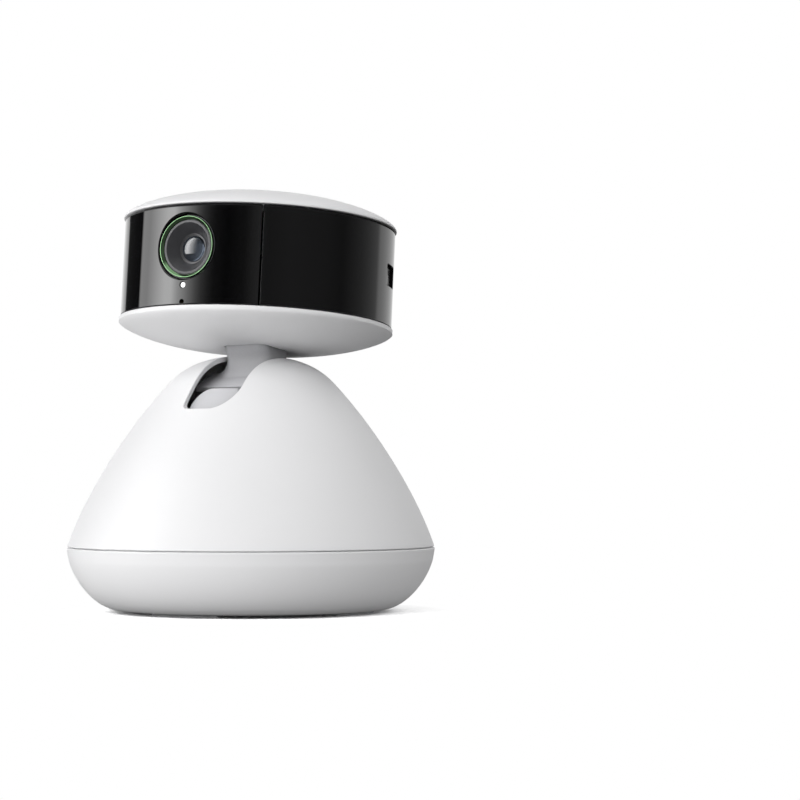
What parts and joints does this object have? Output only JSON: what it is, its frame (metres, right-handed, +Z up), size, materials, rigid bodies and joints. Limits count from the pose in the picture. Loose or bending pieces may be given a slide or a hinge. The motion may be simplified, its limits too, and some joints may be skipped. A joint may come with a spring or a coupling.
{
  "type": "pan and tilt pet camera",
  "caption": "Round white indoor camera: drum head with a glossy band, on a neck in a slotted cone that turns over a weighted bowl base.",
  "frame": {"origin": "middle of the footprint, on the surface that the feet stand on", "axes": "+Z up, -Y the way the lens looks, +X to the right as seen from the front"},
  "size_m": [0.1004, 0.1004, 0.1144],
  "materials": {
    "white_housing": "fine satin moulding texture",
    "white_mechanism": "satin",
    "white_plate": "satin",
    "foot_pad": "matt silicone",
    "black_window": "polished",
    "black_band": "polished",
    "key_plastic": "satin",
    "lens_black": "satin",
    "lens_tint": "thin green coating",
    "lens_glass": "coated glass",
    "sensor_chip": "smooth",
    "light_pipe": "clear",
    "dark_frame": "satin",
    "gear_plastic": "smooth moulded",
    "motor_steel": "rolled",
    "axle_steel": "ground",
    "screw_steel": "zinc plated",
    "ballast_steel": "bare",
    "bearing_bronze": "sintered",
    "circuit_board": "solder mask",
    "black_component": "satin",
    "microphone_can": "plated"
  },
  "bodies": {
    "base": {"base_shell": "white_housing", "base_plate": "white_plate", "base_screw_1": "screw_steel", "base_screw_2": "screw_steel", "base_screw_3": "screw_steel", "base_screw_4": "screw_steel", "foot_front": "foot_pad", "foot_right": "foot_pad", "foot_rear": "foot_pad", "foot_left": "foot_pad", "ballast_ring": "ballast_steel", "pan_post": "dark_frame", "sun_gear": "gear_plastic", "thrust_washer": "bearing_bronze", "retaining_clip": "axle_steel", "power_socket": "axle_steel", "socket_blade": "black_component", "power_board": "circuit_board"},
    "turret": {"turntable": "dark_frame", "turntable_screw_1": "screw_steel", "turntable_screw_2": "screw_steel", "turntable_screw_3": "screw_steel", "cone_shell": "white_housing", "slot_tongue": "white_mechanism", "pan_motor": "motor_steel", "pan_motor_screw_1": "screw_steel", "pan_motor_screw_2": "screw_steel", "left_bracket": "dark_frame", "right_bracket": "dark_frame", "tilt_axle": "axle_steel", "left_bush": "bearing_bronze", "right_bush": "bearing_bronze", "tilt_motor": "motor_steel", "control_board": "circuit_board"},
    "pan_drive": {"pan_pinion": "gear_plastic"},
    "tilt_drive": {"tilt_pinion": "gear_plastic"},
    "head": {"neck": "white_mechanism", "neck_screw_1": "screw_steel", "neck_screw_2": "screw_steel", "slot_shield": "white_mechanism", "tilt_gear": "gear_plastic", "head_underside": "white_housing", "front_window": "black_window", "rear_band": "black_band", "head_cap": "white_housing", "lens_barrel": "lens_black", "lens_ring": "lens_tint", "front_lens": "lens_glass", "rear_lens": "lens_glass", "lens_mount": "lens_black", "sensor_board": "circuit_board", "image_sensor": "sensor_chip", "infrared_board_left": "circuit_board", "infrared_board_right": "circuit_board", "head_board": "circuit_board", "speaker": "black_component", "microphone": "microphone_can", "status_light": "light_pipe", "key_switch": "black_component"},
    "key": {"side_key": "key_plastic"}
  },
  "joints": [
    {"name": "pan", "type": "hinge", "parent": "base", "child": "turret", "pos_m": [0, 0, 0.02], "axis": [0, 0, 1], "range_deg": [-170, 170]},
    {"name": "tilt", "type": "hinge", "parent": "turret", "child": "head", "pos_m": [0.00325, 0, 0.0354], "axis": [1, 0, 0], "range_deg": [-15, 20]},
    {"name": "key_press", "type": "slide", "parent": "head", "child": "key", "axis": [-0.9537, -0.2996, 0.0262], "range_m": [0, 0.0007], "stiffness_N_per_m": 600, "springref_m": -0.001},
    {"name": "pan_pinion_spin", "type": "hinge", "parent": "turret", "child": "pan_drive", "pos_m": [0, 0.0193, 0.0143], "axis": [0, 0, 1], "range_deg": [-520, 520]},
    {"name": "tilt_pinion_spin", "type": "hinge", "parent": "turret", "child": "tilt_drive", "pos_m": [-0.0063, -0.02058, 0.03903], "axis": [1, 0, 0], "range_deg": [-80, 60]}
  ],
  "couplings": [
    {"joint": "pan_pinion_spin", "follows": "pan", "ratio": 3},
    {"joint": "tilt_pinion_spin", "follows": "tilt", "ratio": -3.3333}
  ]
}
